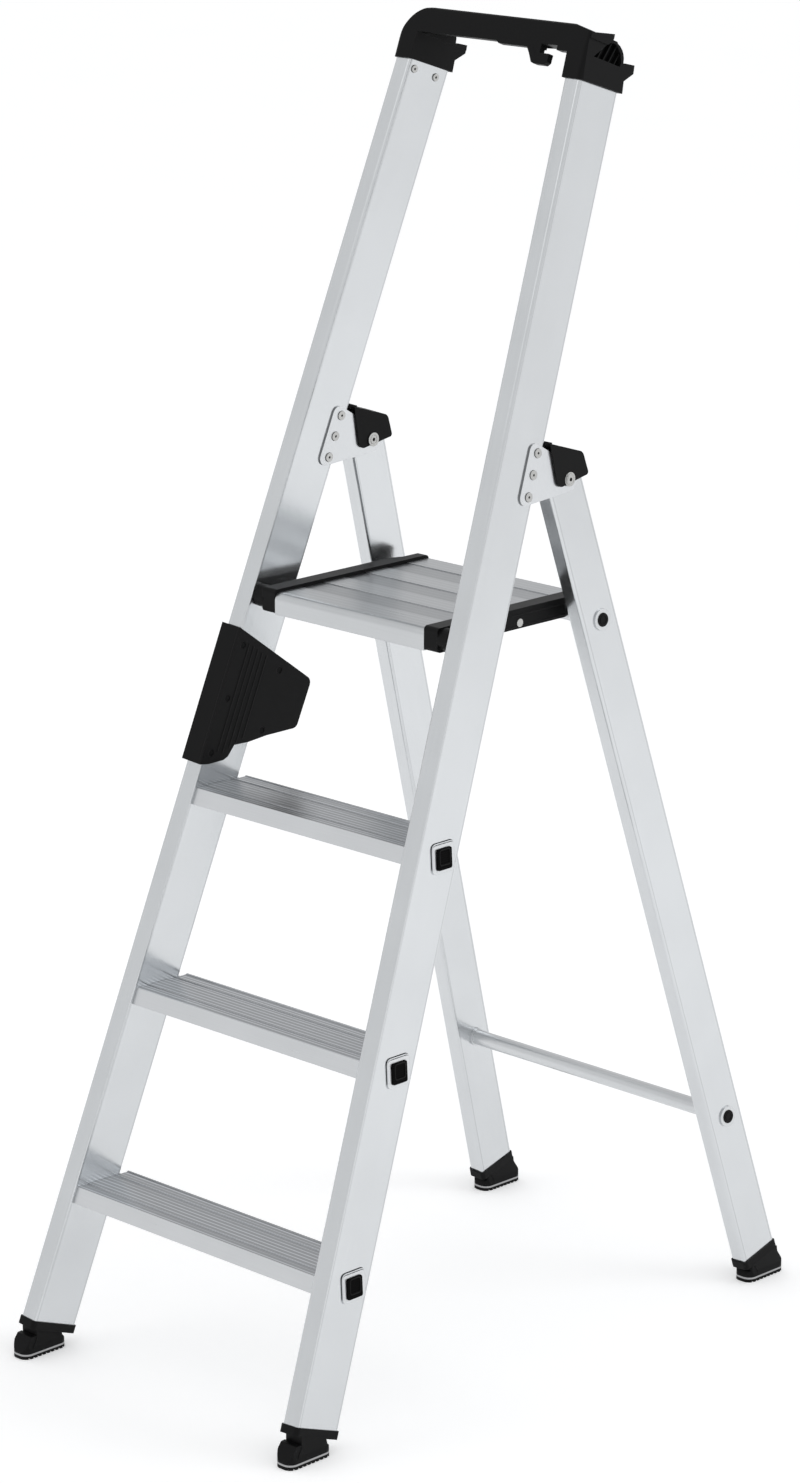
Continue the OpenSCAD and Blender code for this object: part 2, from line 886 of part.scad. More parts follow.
// Side view of the front foot: bulging toe, neck under the collar, sloping heel
module front_foot_outline() {
  heel = sole_len + front_toe;
  polygon([
    [front_toe, sole_h], [heel, sole_h], [heel, 8.5], [heel - 8, 17], [61, 24], [22, 38],
    [22, 26], [20, 27.5], [14, 27], [9, 20.5], [5.5, 14], [front_toe, 8.5]
  ]);
}

// Side view of the rear foot, its heel sloping up to the rear of the leg
module rear_foot_outline() {
  toe = rear_heel - sole_len;
  polygon([
    [toe, sole_h], [rear_heel, sole_h], [rear_heel, 8], [rear_heel - 5.5, 16.8],
    [51, 29.6], [50, 36.5], [2, 22.5], [2, 16], [0, 14], [toe, 8]
  ]);
}

// One moulding: the flared foot, a collar round the profile and a spigot inside it
module front_foot() {
  inner = stile_wall + fit_gap;
  color("#1a1a1b")
  difference() {
    union() {
      translate([front_foot_x, front_y0, 0]) intersection() {
        along_x(-sole_w / 2, sole_w / 2) front_foot_outline();
        along_y(-far, far) foot_flare();
        linear_extrude(height = 100) foot_plan(front_toe, sole_len + front_toe);
      }
      on_stile() translate([0, 0, front_collar_s])
        linear_extrude(height = collar_h) stile_section(2);
      // spigot inside the stile
      on_stile() translate([0, 0, front_collar_s])
        linear_extrude(height = 40) stile_section(-inner);
    }
    // socket for the stile wall
    on_stile() translate([0, 0, stile_foot_s - 0.1]) linear_extrude(height = 60) difference() {
      stile_section(0.1);
      stile_section(-inner);
    }
  }
}

module rear_foot() {
  inner = leg_wall + fit_gap;
  color("#1a1a1b")
  difference() {
    union() {
      translate([rear_foot_x, rear_y0, 0]) intersection() {
        along_x(-sole_w / 2, sole_w / 2) rear_foot_outline();
        along_y(-far, far) foot_flare();
        linear_extrude(height = 100) foot_plan(rear_heel - sole_len, rear_heel);
      }
      on_leg() translate([0, 0, rear_collar_s])
        linear_extrude(height = collar_h) leg_section(2);
      on_leg() translate([0, 0, rear_collar_s])
        linear_extrude(height = 40) leg_section(-inner);
    }
    on_leg() translate([0, 0, leg_foot_s - 0.1]) linear_extrude(height = 60) difference() {
      leg_section(0.1);
      leg_section(-inner);
    }
  }
}

module front_foot_right() front_foot();
module front_foot_left() left_side() front_foot();
module rear_foot_right() rear_foot();
module rear_foot_left() left_side() rear_foot();

// ---------------------------------------------------------------- nodes

stile_left();
stile_right();
step_1();
step_2();
step_3();
step_plugs();
hinge_plate_left_outer();
hinge_plate_left_inner();
hinge_plate_right_outer();
hinge_plate_right_inner();
plate_rivets();
hinge_washers();
top_tray();
tray_rivets();
grip_pad_inner();
grip_pad_outer();
pad_screws();
front_foot_left();
front_foot_right();
front_sole_left();
front_sole_right();
pivot_bolts();
pivot_nuts();
leg_left();
leg_right();
crossbar_upper();
crossbar_lower();
crossbar_plugs();
hinge_cap_left();
hinge_cap_right();
hinge_bolts();
rear_foot_left();
rear_foot_right();
rear_sole_left();
rear_sole_right();
deck();
rail_left();
rail_right();
rail_rivets();
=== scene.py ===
"""Looks of the platform step ladder: materials, moulded detail, floor, light and camera.

Everything is in metres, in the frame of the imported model.
"""

import json
import math

import bpy
from mathutils import Matrix, Vector


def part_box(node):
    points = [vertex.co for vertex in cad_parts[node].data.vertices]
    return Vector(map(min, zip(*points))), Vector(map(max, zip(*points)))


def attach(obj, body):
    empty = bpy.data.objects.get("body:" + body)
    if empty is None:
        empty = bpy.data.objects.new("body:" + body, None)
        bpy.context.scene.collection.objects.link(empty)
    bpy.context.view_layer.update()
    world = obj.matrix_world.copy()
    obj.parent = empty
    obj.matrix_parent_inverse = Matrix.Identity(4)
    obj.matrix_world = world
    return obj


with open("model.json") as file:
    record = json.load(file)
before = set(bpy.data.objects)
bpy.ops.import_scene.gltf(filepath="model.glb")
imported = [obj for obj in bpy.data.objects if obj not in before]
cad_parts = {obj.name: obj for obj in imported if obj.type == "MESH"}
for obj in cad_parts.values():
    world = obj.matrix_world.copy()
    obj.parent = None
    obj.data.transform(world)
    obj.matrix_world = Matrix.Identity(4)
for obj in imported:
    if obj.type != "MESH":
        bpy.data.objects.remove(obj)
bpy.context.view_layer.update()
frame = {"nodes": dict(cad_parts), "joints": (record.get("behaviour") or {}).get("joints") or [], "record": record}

MM = 0.001

# Lean and inward taper of the two frames, and where their own coordinates begin
FRONT_LEAN = math.radians(20.48)
FRONT_TAPER = math.radians(3.28)
FRONT_HALF_SPAN = 230.7 * MM
FRONT_LIFT = 2.56 * MM
REAR_LEAN = math.radians(16.43)
REAR_TAPER = math.radians(3.49)
REAR_LIFT = 6.56 * MM
STILE_W = 25 * MM
STILE_D = 69.5 * MM
LEG_W = 22 * MM
LEG_D = 57.5 * MM
TOE_GAP = 2.5 * MM
HEEL_REACH = 65.5 * MM

# Middle of a step's box, from the tread's rear edge and from its top
BOX_FROM_BACK = 46.3 * MM
BOX_HALF_H = 15 * MM
STEPS = (1, 2, 3)

# Reach of things beyond the stile's or leg's side face, and of the bolt heads from the leg's middle
PLUG_REACH = 4 * MM
BAR_PLUG_REACH = 3 * MM
PAD_T = 4 * MM
BOLT_REACH = 18.8 * MM
RAIL_OUTER_X = 146.5 * MM

# Rivet centres on a stile: behind its front face and along it
PLATE_T = 2 * MM
TRAY_RIVETS = [(11 * MM, 1623.5 * MM), (49.5 * MM, 1623.5 * MM)]
PLATE_RIVETS = [(58.8 * MM, s * MM) for s in (1202.3, 1176.2, 1149.8)]


# ---------------------------------------------------------------- frame places

def leaning_axes(lean, taper):
    """Outward, backward and upward directions of a right-hand profile."""
    side = Vector((math.cos(taper), math.sin(taper) * math.sin(lean), math.sin(taper) * math.cos(lean)))
    back = Vector((0, math.cos(lean), -math.sin(lean)))
    up = Vector((-math.sin(taper), math.cos(taper) * math.sin(lean), math.cos(taper) * math.cos(lean)))
    return side, back, up


def profile_matrix(lean, taper, half_span, line_y, lift):
    """Turns a right-hand profile's own coordinates into the shared frame."""
    side, back, up = leaning_axes(lean, taper)
    start = Vector((half_span, line_y + lift * math.sin(lean), lift * math.cos(lean)))
    m = Matrix.Identity(4)
    for column, axis in enumerate((side, back, up, start)):
        for row in range(3):
            m[row][column] = axis[row]
    return m


hinge = Vector(next(j["pos_m"] for j in frame["joints"] if j["name"] == "rear_frame_fold"))
front_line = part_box("front_sole_left")[0].y - TOE_GAP
rear_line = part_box("rear_sole_left")[1].y - HEEL_REACH
hinge_along = (rear_line - hinge.y) * math.sin(REAR_LEAN) + hinge.z * math.cos(REAR_LEAN) - REAR_LIFT
hinge_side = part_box("hinge_bolts")[1].x - BOLT_REACH
rear_half_span = hinge_side + hinge_along * math.tan(REAR_TAPER)
stile_place = profile_matrix(FRONT_LEAN, FRONT_TAPER, FRONT_HALF_SPAN, front_line, FRONT_LIFT)
leg_place = profile_matrix(-REAR_LEAN, REAR_TAPER, rear_half_span, rear_line, REAR_LIFT)
MIRROR_X = Matrix.Scale(-1, 4, Vector((1, 0, 0)))


def on_plane(place, out, y, z):
    """Point of the shared frame at y and z, out metres outwards from a profile's centre plane."""
    side = place.col[0].xyz
    start = place.col[3].xyz
    x = start.x + (out - side.y * (y - start.y) - side.z * (z - start.z)) / side.x
    return Vector((x, y, z))


# ---------------------------------------------------------------- materials

class Shader:
    """A material's node tree, with one short call per node."""

    def __init__(self, name):
        self.material = bpy.data.materials.new(name)
        self.material.use_nodes = True
        self.tree = self.material.node_tree
        self.tree.nodes.clear()
        self.surface = self.node("ShaderNodeBsdfPrincipled")
        self.link(self.surface.outputs["BSDF"], self.node("ShaderNodeOutputMaterial").inputs["Surface"])
        coordinates = self.node("ShaderNodeTexCoord")
        self.place = coordinates.outputs["Object"]
        self.share = coordinates.outputs["Generated"]

    def node(self, kind, **settings):
        made = self.tree.nodes.new(kind)
        for key, value in settings.items():
            setattr(made, key, value)
        return made

    def link(self, source, target):
        self.tree.links.new(source, target)

    def put(self, target, value):
        if isinstance(value, bpy.types.NodeSocket):
            self.link(value, target)
        else:
            target.default_value = value

    def math(self, operation, a, b=0.0):
        made = self.node("ShaderNodeMath", operation=operation)
        self.put(made.inputs[0], a)
        self.put(made.inputs[1], b)
        return made.outputs[0]

    def scaled(self, value, low, high):
        """Value from 0..1 stretched to low..high."""
        return self.math("ADD", self.math("MULTIPLY", value, high - low), low)

    def step(self, value, start, end):
        """0 below start, 1 above end, smooth between."""
        made = self.node("ShaderNodeMapRange", interpolation_type="SMOOTHSTEP")
        self.put(made.inputs["Value"], value)
        made.inputs["From Min"].default_value = start
        made.inputs["From Max"].default_value = end
        return made.outputs["Result"]

    def inside(self, value, low, high, soft):
        """1 between low and high, 0 outside."""
        rise = self.step(value, low - soft, low)
        fall = self.step(value, high, high + soft)
        return self.math("SUBTRACT", rise, fall)

    def dot(self, vector, axis):
        made = self.node("ShaderNodeVectorMath", operation="DOT_PRODUCT")
        self.put(made.inputs[0], vector)
        self.put(made.inputs[1], axis)
        return made.outputs["Value"]

    def split(self, vector):
        made = self.node("ShaderNodeSeparateXYZ")
        self.put(made.inputs[0], vector)
        return made.outputs

    def join(self, x, y, z):
        made = self.node("ShaderNodeCombineXYZ")
        for target, value in zip(made.inputs, (x, y, z)):
            self.put(target, value)
        return made.outputs[0]

    def mirrored(self):
        """Object coordinates with both sides folded onto the right."""
        x, y, z = self.split(self.place)
        return self.join(self.math("ABSOLUTE", x), y, z)

    def noise(self, vector, scale, detail=2.0, roughness=0.5):
        made = self.node("ShaderNodeTexNoise")
        self.put(made.inputs["Vector"], vector)
        made.inputs["Scale"].default_value = scale
        made.inputs["Detail"].default_value = detail
        made.inputs["Roughness"].default_value = roughness
        return made.outputs["Fac"]

    def cells(self, vector, scale):
        made = self.node("ShaderNodeTexVoronoi", feature="SMOOTH_F1")
        self.put(made.inputs["Vector"], vector)
        made.inputs["Scale"].default_value = scale
        return made.outputs["Distance"]

    def mix(self, share, a, b):
        """Colour a at share 0, colour b at share 1."""
        made = self.node("ShaderNodeMix", data_type="RGBA")
        self.put(made.inputs["Factor"], share)
        for key, value in (("A", a), ("B", b)):
            target = next(s for s in made.inputs if s.name == key and s.type == "RGBA")
            self.put(target, (*value, 1) if isinstance(value, tuple) else value)
        return next(s for s in made.outputs if s.type == "RGBA")

    def tone(self, colour, value):
        """Colour multiplied by a number."""
        made = self.node("ShaderNodeVectorMath", operation="SCALE")
        self.put(made.inputs[0], colour)
        self.put(made.inputs["Scale"], value)
        return made.outputs[0]

    def soft_edges(self, radius):
        """Normal rounded over the edges, and a mask that is 1 on the edges."""
        rounded = self.node("ShaderNodeBevel", samples=4)
        rounded.inputs["Radius"].default_value = radius
        plain = self.node("ShaderNodeNewGeometry").outputs["True Normal"]
        turn = self.math("SUBTRACT", 1.0, self.dot(rounded.outputs["Normal"], plain))
        return rounded.outputs["Normal"], self.step(turn, 0.01, 0.2)

    def facing_up(self):
        """1 on faces that look upwards."""
        normal = self.split(self.node("ShaderNodeNewGeometry").outputs["True Normal"])
        return self.step(normal[2], 0.8, 0.97)

    def bump(self, height, distance, normal=None):
        made = self.node("ShaderNodeBump")
        made.inputs["Distance"].default_value = distance
        made.inputs["Strength"].default_value = 1.0
        self.put(made.inputs["Height"], height)
        if normal is not None:
            self.link(normal, made.inputs["Normal"])
        return made.outputs["Normal"]

    def finish(self, colour, metallic, roughness, normal, specular=0.5):
        for key, value in (
            ("Base Color", colour), ("Metallic", metallic), ("Roughness", roughness),
            ("Normal", normal), ("Specular IOR Level", specular),
        ):
            self.put(self.surface.inputs[key], value)
        return self.material


ALUMINIUM = (0.655, 0.672, 0.686)
EDGE_ALUMINIUM = (0.74, 0.75, 0.76)


def brushing(s, place, axes):
    """Drawn lines along a profile: very long along it and very fine across it."""
    side, back, up = axes
    along = s.math("MULTIPLY", s.dot(place, up), 9.0)
    across = s.math("MULTIPLY", s.dot(place, back), 1100.0)
    out = s.math("MULTIPLY", s.dot(place, side), 1100.0)
    return s.noise(s.join(along, across, out), 1.0, 3.0, 0.6)


def metal(s, lines, colour, roughness, radius=0.6 * MM, relief=0.04 * MM, edge_colour=EDGE_ALUMINIUM):
    """Satin metal with drawn lines, cloudy tone, fine specks and worn edges in their own tone."""
    cloud = s.noise(s.place, 11.0, 3.0)
    specks = s.noise(s.place, 1900.0, 1.0)
    normal, edge = s.soft_edges(radius)
    level = s.math("ADD", s.scaled(lines, 0.93, 1.03), s.scaled(cloud, -0.05, 0.05))
    level = s.math("ADD", level, s.scaled(specks, -0.03, 0.03))
    base = s.mix(s.math("MULTIPLY", edge, 0.35), s.tone(colour, level), edge_colour)
    rough = s.math("ADD", s.scaled(lines, roughness - 0.05, roughness + 0.06), s.scaled(cloud, -0.04, 0.04))
    height = s.math("ADD", lines, s.math("MULTIPLY", specks, 0.5))
    return s.finish(base, 0.96, rough, s.bump(height, relief, normal))


def profile_metal(name, place, lean, taper, depth):
    """Extruded profile with a painted dark line beside each of its long edges on the side faces: the painted shade
    of a small groove.
    """
    s = Shader(name)
    axes = leaning_axes(lean, taper)
    mirrored = s.mirrored()
    lines = brushing(s, mirrored, axes)
    behind = s.math("SUBTRACT", s.dot(mirrored, axes[1]), place.col[3].xyz.dot(axes[1]))
    # painted shade: dark lines where a small groove runs along each long edge, drawn on the side faces only
    groove_shade = 0.0
    for start in (3.4 * MM, depth - 4.2 * MM):
        groove_shade = s.math("ADD", groove_shade, s.inside(behind, start, start + 0.8 * MM, 0.4 * MM))
    across = s.split(s.node("ShaderNodeNewGeometry").outputs["True Normal"])[0]
    groove_shade = s.math("MULTIPLY", groove_shade, s.step(s.math("ABSOLUTE", across), 0.8, 0.95))
    colour = s.mix(s.math("MULTIPLY", groove_shade, 0.45), ALUMINIUM, (0.36, 0.37, 0.38))
    return metal(s, lines, colour, 0.17)


def tread_metal(name, floor_share, groove_shade_tone, top_shade_tone, face_tone, highlight_spacing, highlight_gain):
    """Ribbed or planked top, painted darker than the smooth faces as painted shade, with the darkest painted shade
    on the grooves' floor. The grooves' floor lies at floor_share of the height; bright lines of painted highlight
    run across the top, the given spacing apart."""
    s = Shader(name)
    x, y, z = s.split(s.place)
    lines = s.noise(s.join(s.math("MULTIPLY", x, 8.0), s.math("MULTIPLY", y, 1200.0),
                           s.math("MULTIPLY", z, 1200.0)), 1.0, 3.0, 0.6)
    rib_share = 1 - floor_share
    raised = s.step(s.split(s.share)[2], floor_share + 0.3 * rib_share, floor_share + 0.8 * rib_share)
    # painted shade: the grooves' floor gets the darkest tone and the ribs' tops a lighter one, both darker than
    # the smooth faces
    top = s.mix(raised, groove_shade_tone, top_shade_tone)
    # painted highlight: bright lines across the top where the ribs or planks would catch the light
    highlight_wave = s.math("SINE", s.math("MULTIPLY", y, math.tau / highlight_spacing))
    top = s.tone(top, s.scaled(s.step(highlight_wave, 0.4, 0.9), 0.9, 0.9 + highlight_gain))
    # painted shade: faces that look upwards take the darker top colour, the other faces the lighter face colour
    colour = s.mix(s.facing_up(), face_tone, top)
    edge_tone = (0.52, 0.53, 0.54)
    return metal(s, lines, colour, 0.30, radius=0.5 * MM, edge_colour=edge_tone)


def sheet_metal():
    """Stamped hinge plates: fine grain stretched upwards, and painted shade on the side faces of their edges."""
    s = Shader("stamped_plate")
    grain_scale = (900.0, 900.0, 260.0)
    stretched = [s.math("MULTIPLY", part, scale) for part, scale in zip(s.split(s.place), grain_scale)]
    grain = s.noise(s.join(*stretched), 1.0, 3.0)
    across = s.split(s.node("ShaderNodeNewGeometry").outputs["True Normal"])[0]
    # painted shade: the plate's side faces, turned away from the light, are darkened
    rim = s.math("SUBTRACT", 1.0, s.step(s.math("ABSOLUTE", across), 0.5, 0.9))
    colour = s.mix(rim, (0.685, 0.70, 0.715), (0.26, 0.265, 0.27))
    return metal(s, grain, colour, 0.3, radius=0.3 * MM)


def turned_metal(name, colour):
    """Rivets, bolts and nuts: fine turning marks and a dull tone."""
    s = Shader(name)
    marks = s.noise(s.place, 1500.0, 3.0, 0.7)
    return metal(s, marks, colour, 0.27, radius=0.5 * MM, relief=0.08 * MM, edge_colour=colour)


def moulded_plastic(name, colour, light, roughness, grain_size, specular):
    """Moulded plastic or rubber: spark-eroded grain, uneven sheen, slightly lighter edges."""
    s = Shader(name)
    grain = s.cells(s.place, 1.0 / grain_size)
    cloud = s.noise(s.place, 26.0, 3.0)
    dust = s.step(s.noise(s.place, 900.0, 2.0), 0.62, 0.8)
    normal, edge = s.soft_edges(1.0 * MM)
    base = s.mix(s.math("ADD", s.scaled(cloud, 0.0, 0.35), s.math("MULTIPLY", dust, 0.15)), colour, light)
    base = s.mix(s.math("MULTIPLY", edge, 0.5), base, tuple(1.8 * c for c in light))
    rough = s.scaled(cloud, roughness - 0.06, roughness + 0.06)
    rough = s.math("ADD", rough, s.math("MULTIPLY", edge, -0.08))
    height = s.math("ADD", grain, s.math("MULTIPLY", cloud, 0.4))
    return s, base, rough, s.bump(height, 0.06 * MM, normal), specular


def black_plastic():
    s, base, rough, normal, specular = moulded_plastic(
        "black_moulding", (0.0045, 0.0045, 0.0047), (0.0088, 0.0088, 0.0092), 0.44, 0.9 * MM, 0.09)
    return s.finish(base, 0.0, rough, normal, specular)


def deep_black():
    """Darker and duller plastic of the step plugs, with faint level ribs drawn as lighter stripes of painted
    highlight.
    """
    s, base, rough, normal, specular = moulded_plastic(
        "deep_black_plastic", (0.0008, 0.0008, 0.0008), (0.002, 0.002, 0.002), 0.6, 0.9 * MM, 0.03)
    rib_spacing = 2.6 * MM
    # painted highlight: lighter stripes where the plug's level ribs would catch the light
    highlight_wave = s.math("SINE", s.math("MULTIPLY", s.split(s.place)[2], math.tau / rib_spacing))
    base = s.mix(s.step(highlight_wave, 0.2, 0.9), base, (0.006, 0.006, 0.006))
    return s.finish(base, 0.0, rough, normal, specular)


def grey_plastic():
    s, base, rough, normal, specular = moulded_plastic(
        "pale_washer", (0.55, 0.55, 0.54), (0.66, 0.66, 0.64), 0.5, 0.8 * MM, 0.4)
    return s.finish(base, 0.0, rough, normal, specular)


def sole_rubber():
    """Black rubber with a pale grey parting band along its top edge."""
    s, base, rough, normal, specular = moulded_plastic(
        "sole_rubber", (0.005, 0.005, 0.005), (0.010, 0.010, 0.010), 0.7, 0.7 * MM, 0.12)
    band = s.inside(s.split(s.place)[2], 4.3 * MM, 6.6 * MM, 0.3 * MM)
    base = s.mix(band, base, (0.4, 0.4, 0.405))
    return s.finish(base, 0.0, rough, normal, specular)


# Height of a rib as a share of a whole step, and of a plank as a share of the deck
STEP_RIB_SHARE = 0.8 / 39.2
DECK_PLANK_SHARE = 0.8 / 26.2

looks = {
    "front_profile": profile_metal("front_profile", stile_place, FRONT_LEAN, FRONT_TAPER, STILE_D),
    "rear_profile": profile_metal("rear_profile", leg_place, -REAR_LEAN, REAR_TAPER, LEG_D),
    "tread": tread_metal("tread_metal", 1 - STEP_RIB_SHARE, (0.33, 0.34, 0.355), (0.46, 0.472, 0.485),
                         (0.67, 0.684, 0.697), 7.1 * MM, 0.8),
    "deck": tread_metal("deck_metal", 1 - DECK_PLANK_SHARE, (0.335, 0.345, 0.358), (0.46, 0.472, 0.484),
                        (0.575, 0.59, 0.602), 9.0 * MM, 0.12),
    "bar": tread_metal("bar_metal", 0.0, (0.6, 0.61, 0.62), (0.6, 0.61, 0.62),
                       (0.645, 0.66, 0.672), 9.0 * MM, 0.1),
    "plate": sheet_metal(),
    "fastener": turned_metal("plated_fastener", (0.50, 0.50, 0.49)),
    # near-black metal: the pad screws' own colour, and painted shade for the rivet dimples and rings, the bolt
    # holes and the collar gaps
    "dark_fastener_and_shade": turned_metal("dark_fastener_and_shade", (0.006, 0.006, 0.0062)),
    "washer": grey_plastic(),
    "black_plastic": black_plastic(),
    "deep_black": deep_black(),
    "sole": sole_rubber(),
}

slot_of = {row["node"]: row["material_slot"] for row in frame["record"]["subparts"]}


def look_of(node):
    """The look of a CAD node: its slot's, with the profiles split by frame."""
    if node.startswith("stile"):
        return looks["front_profile"]
    if node.startswith("leg"):
        return looks["rear_profile"]
    if node in ("crossbar_upper", "crossbar_lower"):
        return looks["bar"]
    if node == "pad_screws":
        return looks["dark_fastener_and_shade"]
    if node == "step_plugs":
        return looks["deep_black"]
    return looks[slot_of[node]]


for node, thing in frame["nodes"].items():
    thing.data.materials.clear()
    thing.data.materials.append(look_of(node))


# ---------------------------------------------------------------- moulded detail, with dark beads and discs of painted shade

def tube(points, radius, closed=False, sides=4):
    """Mesh of a round bead along points."""
    curve = bpy.data.curves.new("path", "CURVE")
    curve.dimensions = "3D"
    curve.bevel_depth = radius
    curve.bevel_resolution = sides
    curve.use_fill_caps = not closed
    line = curve.splines.new("POLY")
    line.points.add(len(points) - 1)
    for target, point in zip(line.points, points):
        target.co = (*point, 1)
    line.use_cyclic_u = closed
    holder = bpy.data.objects.new("path", curve)
    mesh = bpy.data.meshes.new_from_object(holder)
    bpy.data.objects.remove(holder)
    bpy.data.curves.remove(curve)
    return mesh


def dome(centre, axis, radius, height, steps=16):
    """Mesh of a low closed dome that stands on centre and faces along axis."""
    turn = Vector((0, 0, 1)).rotation_difference(Vector(axis)).to_matrix()
    # rings as shares of the radius and of the height, the first sunk below centre
    levels = ((1.0, -0.4), (1.0, 0.3), (0.75, 0.75), (0.4, 0.95))
    points = [Vector((radius * r * math.cos(a), radius * r * math.sin(a), height * h))
              for r, h in levels for a in (math.tau * i / steps for i in range(steps))]
    points.append(Vector((0, 0, height)))
    faces = [list(range(steps))[::-1]]
    for level in range(len(levels) - 1):
        for i in range(steps):
            j = (i + 1) % steps
            low, high = level * steps, (level + 1) * steps
            faces.append([low + i, low + j, high + j, high + i])
    last = (len(levels) - 1) * steps
    faces += [[last + i, last + (i + 1) % steps, len(points) - 1] for i in range(steps)]
    mesh = bpy.data.meshes.new("dome")
    mesh.from_pydata([Vector(centre) + turn @ p for p in points], [], faces)
    return mesh


def add_piece(name, body, slot, meshes, both_sides=True, look=None):
    """One piece from several closed meshes, repeated on the left when both_sides is set."""
    vertices, faces = [], []
    for left in ((False, True) if both_sides else (False,)):
        for mesh in meshes:
            start = len(vertices)
            vertices += [MIRROR_X @ v.co if left else v.co.copy() for v in mesh.vertices]
            for face in mesh.polygons:
                ring = [start + i for i in face.vertices]
                faces.append(ring[::-1] if left else ring)
    for mesh in meshes:
        bpy.data.meshes.remove(mesh)
    whole = bpy.data.meshes.new(name)
    whole.from_pydata(vertices, [], faces)
    whole.shade_smooth()
    whole.materials.append(looks[look or slot])
    piece = bpy.data.objects.new(name, whole)
    bpy.context.scene.collection.objects.link(piece)
    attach(piece, body)
    return piece


def add_beads(name, body, slot, paths, radius, closed=False, **settings):
    """One piece from beads along several paths."""
    return add_piece(name, body, slot, [tube(path, radius, closed) for path in paths], **settings)


def rounded_box(centre, half_y, half_z, corner, steps=5):
    """Points in y and z round a rectangle with round corners."""
    points = []
    for quarter, (side_y, side_z) in enumerate(((1, 1), (-1, 1), (-1, -1), (1, -1))):
        middle_y = centre[0] + side_y * (half_y - corner)
        middle_z = centre[1] + side_z * (half_z - corner)
        for i in range(steps + 1):
            a = math.radians(90) * (quarter + i / steps)
            points.append((middle_y + corner * math.cos(a), middle_z + corner * math.sin(a)))
    return points


def circle(centre, radius, steps=24):
    """Points in y and z round a circle."""
    turns = (math.tau * i / steps for i in range(steps))
    return [(centre[0] + radius * math.cos(a), centre[1] + radius * math.sin(a)) for a in turns]


def box_centre(n):
    """Middle of a step's box, in y and z."""
    back_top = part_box(f"step_{n}")[1]
    return back_top.y - BOX_FROM_BACK, back_top.z - BOX_HALF_H


def plug_rims():
    """Raised rims on the faces of the step plugs and the crossbar plugs."""
    proud = STILE_W / 2 + PLUG_REACH
    paths = []
    for n in STEPS:
        outline = rounded_box(box_centre(n), 8.6 * MM, 9.1 * MM, 3 * MM)
        paths.append([on_plane(stile_place, proud, y, z) for y, z in outline])
    add_beads("step_plug_rims", "front_frame", "black_plastic", paths, 0.9 * MM, closed=True)
    paths = []
    for node in ("crossbar_upper", "crossbar_lower"):
        low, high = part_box(node)
        middle = (low + high) / 2
        ring = circle((middle.y, middle.z), 5.2 * MM)
        paths.append([on_plane(leg_place, LEG_W / 2 + BAR_PLUG_REACH, y, z) for y, z in ring])
    add_beads("crossbar_plug_rims", "rear_frame", "black_plastic", paths, 0.7 * MM, closed=True)


def pad_ribs():
    """Shallow grip ribs along both faces of the hand grip, parallel to the stile."""
    sunk = 0.9 * MM
    rib_count = 5
    paths = []
    for side in (-1, 1):
        out = side * (STILE_W / 2 + PAD_T - sunk)
        for i in range(rib_count):
            back = (17 + 8.6 * i) * MM
            low = (772 + max(0, i - 1) * 7.5) * MM
            high = (908 - 2.4 * i) * MM
            paths.append([MIRROR_X @ stile_place @ Vector((out, back, along)) for along in (low, high)])
    add_beads("grip_ribs", "front_frame", "black_plastic", paths, 1.7 * MM, both_sides=False)


def rail_beads():
    """Long beads on the outside of both platform rails and short ones on their front corners."""
    deck_low, deck_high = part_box("deck")
    face = RAIL_OUTER_X - 0.5 * MM
    front = deck_low.y
    top = deck_high.z
    paths = []
    for drop in (3.5 * MM, 17.5 * MM):
        paths.append([Vector((face, front + y * MM, top - drop)) for y in (44, 228)])
    for y in (24, 30.5, 37):
        paths.append([Vector((face, front + y * MM, top - z * MM)) for z in (3, 22)])
    add_beads("rail_ribs", "platform", "black_plastic", paths, 1.1 * MM)


def foot_beads():
    """Curved bead down each side of the feet, from the neck to the sole."""
    for name, body, line, arc in (
        ("front_foot_ribs", "front_frame", front_line, ((22, 25), (20.5, 21), (17, 15), (15.5, 9.5))),
        ("rear_foot_ribs", "rear_frame", rear_line, ((8, 20), (12, 16), (14, 12), (14.5, 9.5))),
    ):
        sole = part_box(name.replace("foot_ribs", "sole_right"))
        middle = (sole[0].x + sole[1].x) / 2
        half = 13 * MM
        paths = [[Vector((middle + side * half, line + y * MM, z * MM)) for y, z in arc] for side in (-1, 1)]
        add_beads(name, body, "black_plastic", paths, 0.8 * MM)


def rivet_details():
    """Mandrel ends inside the rivet heads, near-black as painted shade in the dimples, and dark rings round the
    heads as painted shadow.
    """
    outward = stile_place.col[0].xyz
    dimple = 1.0 * MM
    mandrels, shadow_rings = [], []
    for spots, sides, face, head_t, head_r in (
        (TRAY_RIVETS, (-1,), STILE_W / 2, 1.4 * MM, 4.6 * MM),
        (PLATE_RIVETS, (-1, 1), STILE_W / 2 + PLATE_T, 1.2 * MM, 5.6 * MM),
    ):
        for back, along in spots:
            for side in sides:
                spot = stile_place @ Vector((side * (face + head_t - dimple), back, along))
                # real mandrel ends, drawn near-black as painted shade in the dimples
                mandrels.append(dome(spot, outward * side, 1.4 * MM, 0.6 * MM))
                # painted shadow: a dark ring round each head on the plate or stile
                ring = circle((back, along), head_r)
                shadow_ring = [stile_place @ Vector((side * (face + 0.1 * MM), b, a)) for b, a in ring]
                shadow_rings.append(tube(shadow_ring, 0.35 * MM, True))
    add_piece("rivet_mandrels", "front_frame", "fastener", mandrels, look="dark_fastener_and_shade")
    add_piece("rivet_shadow_rings", "front_frame", "fastener", shadow_rings, look="dark_fastener_and_shade")


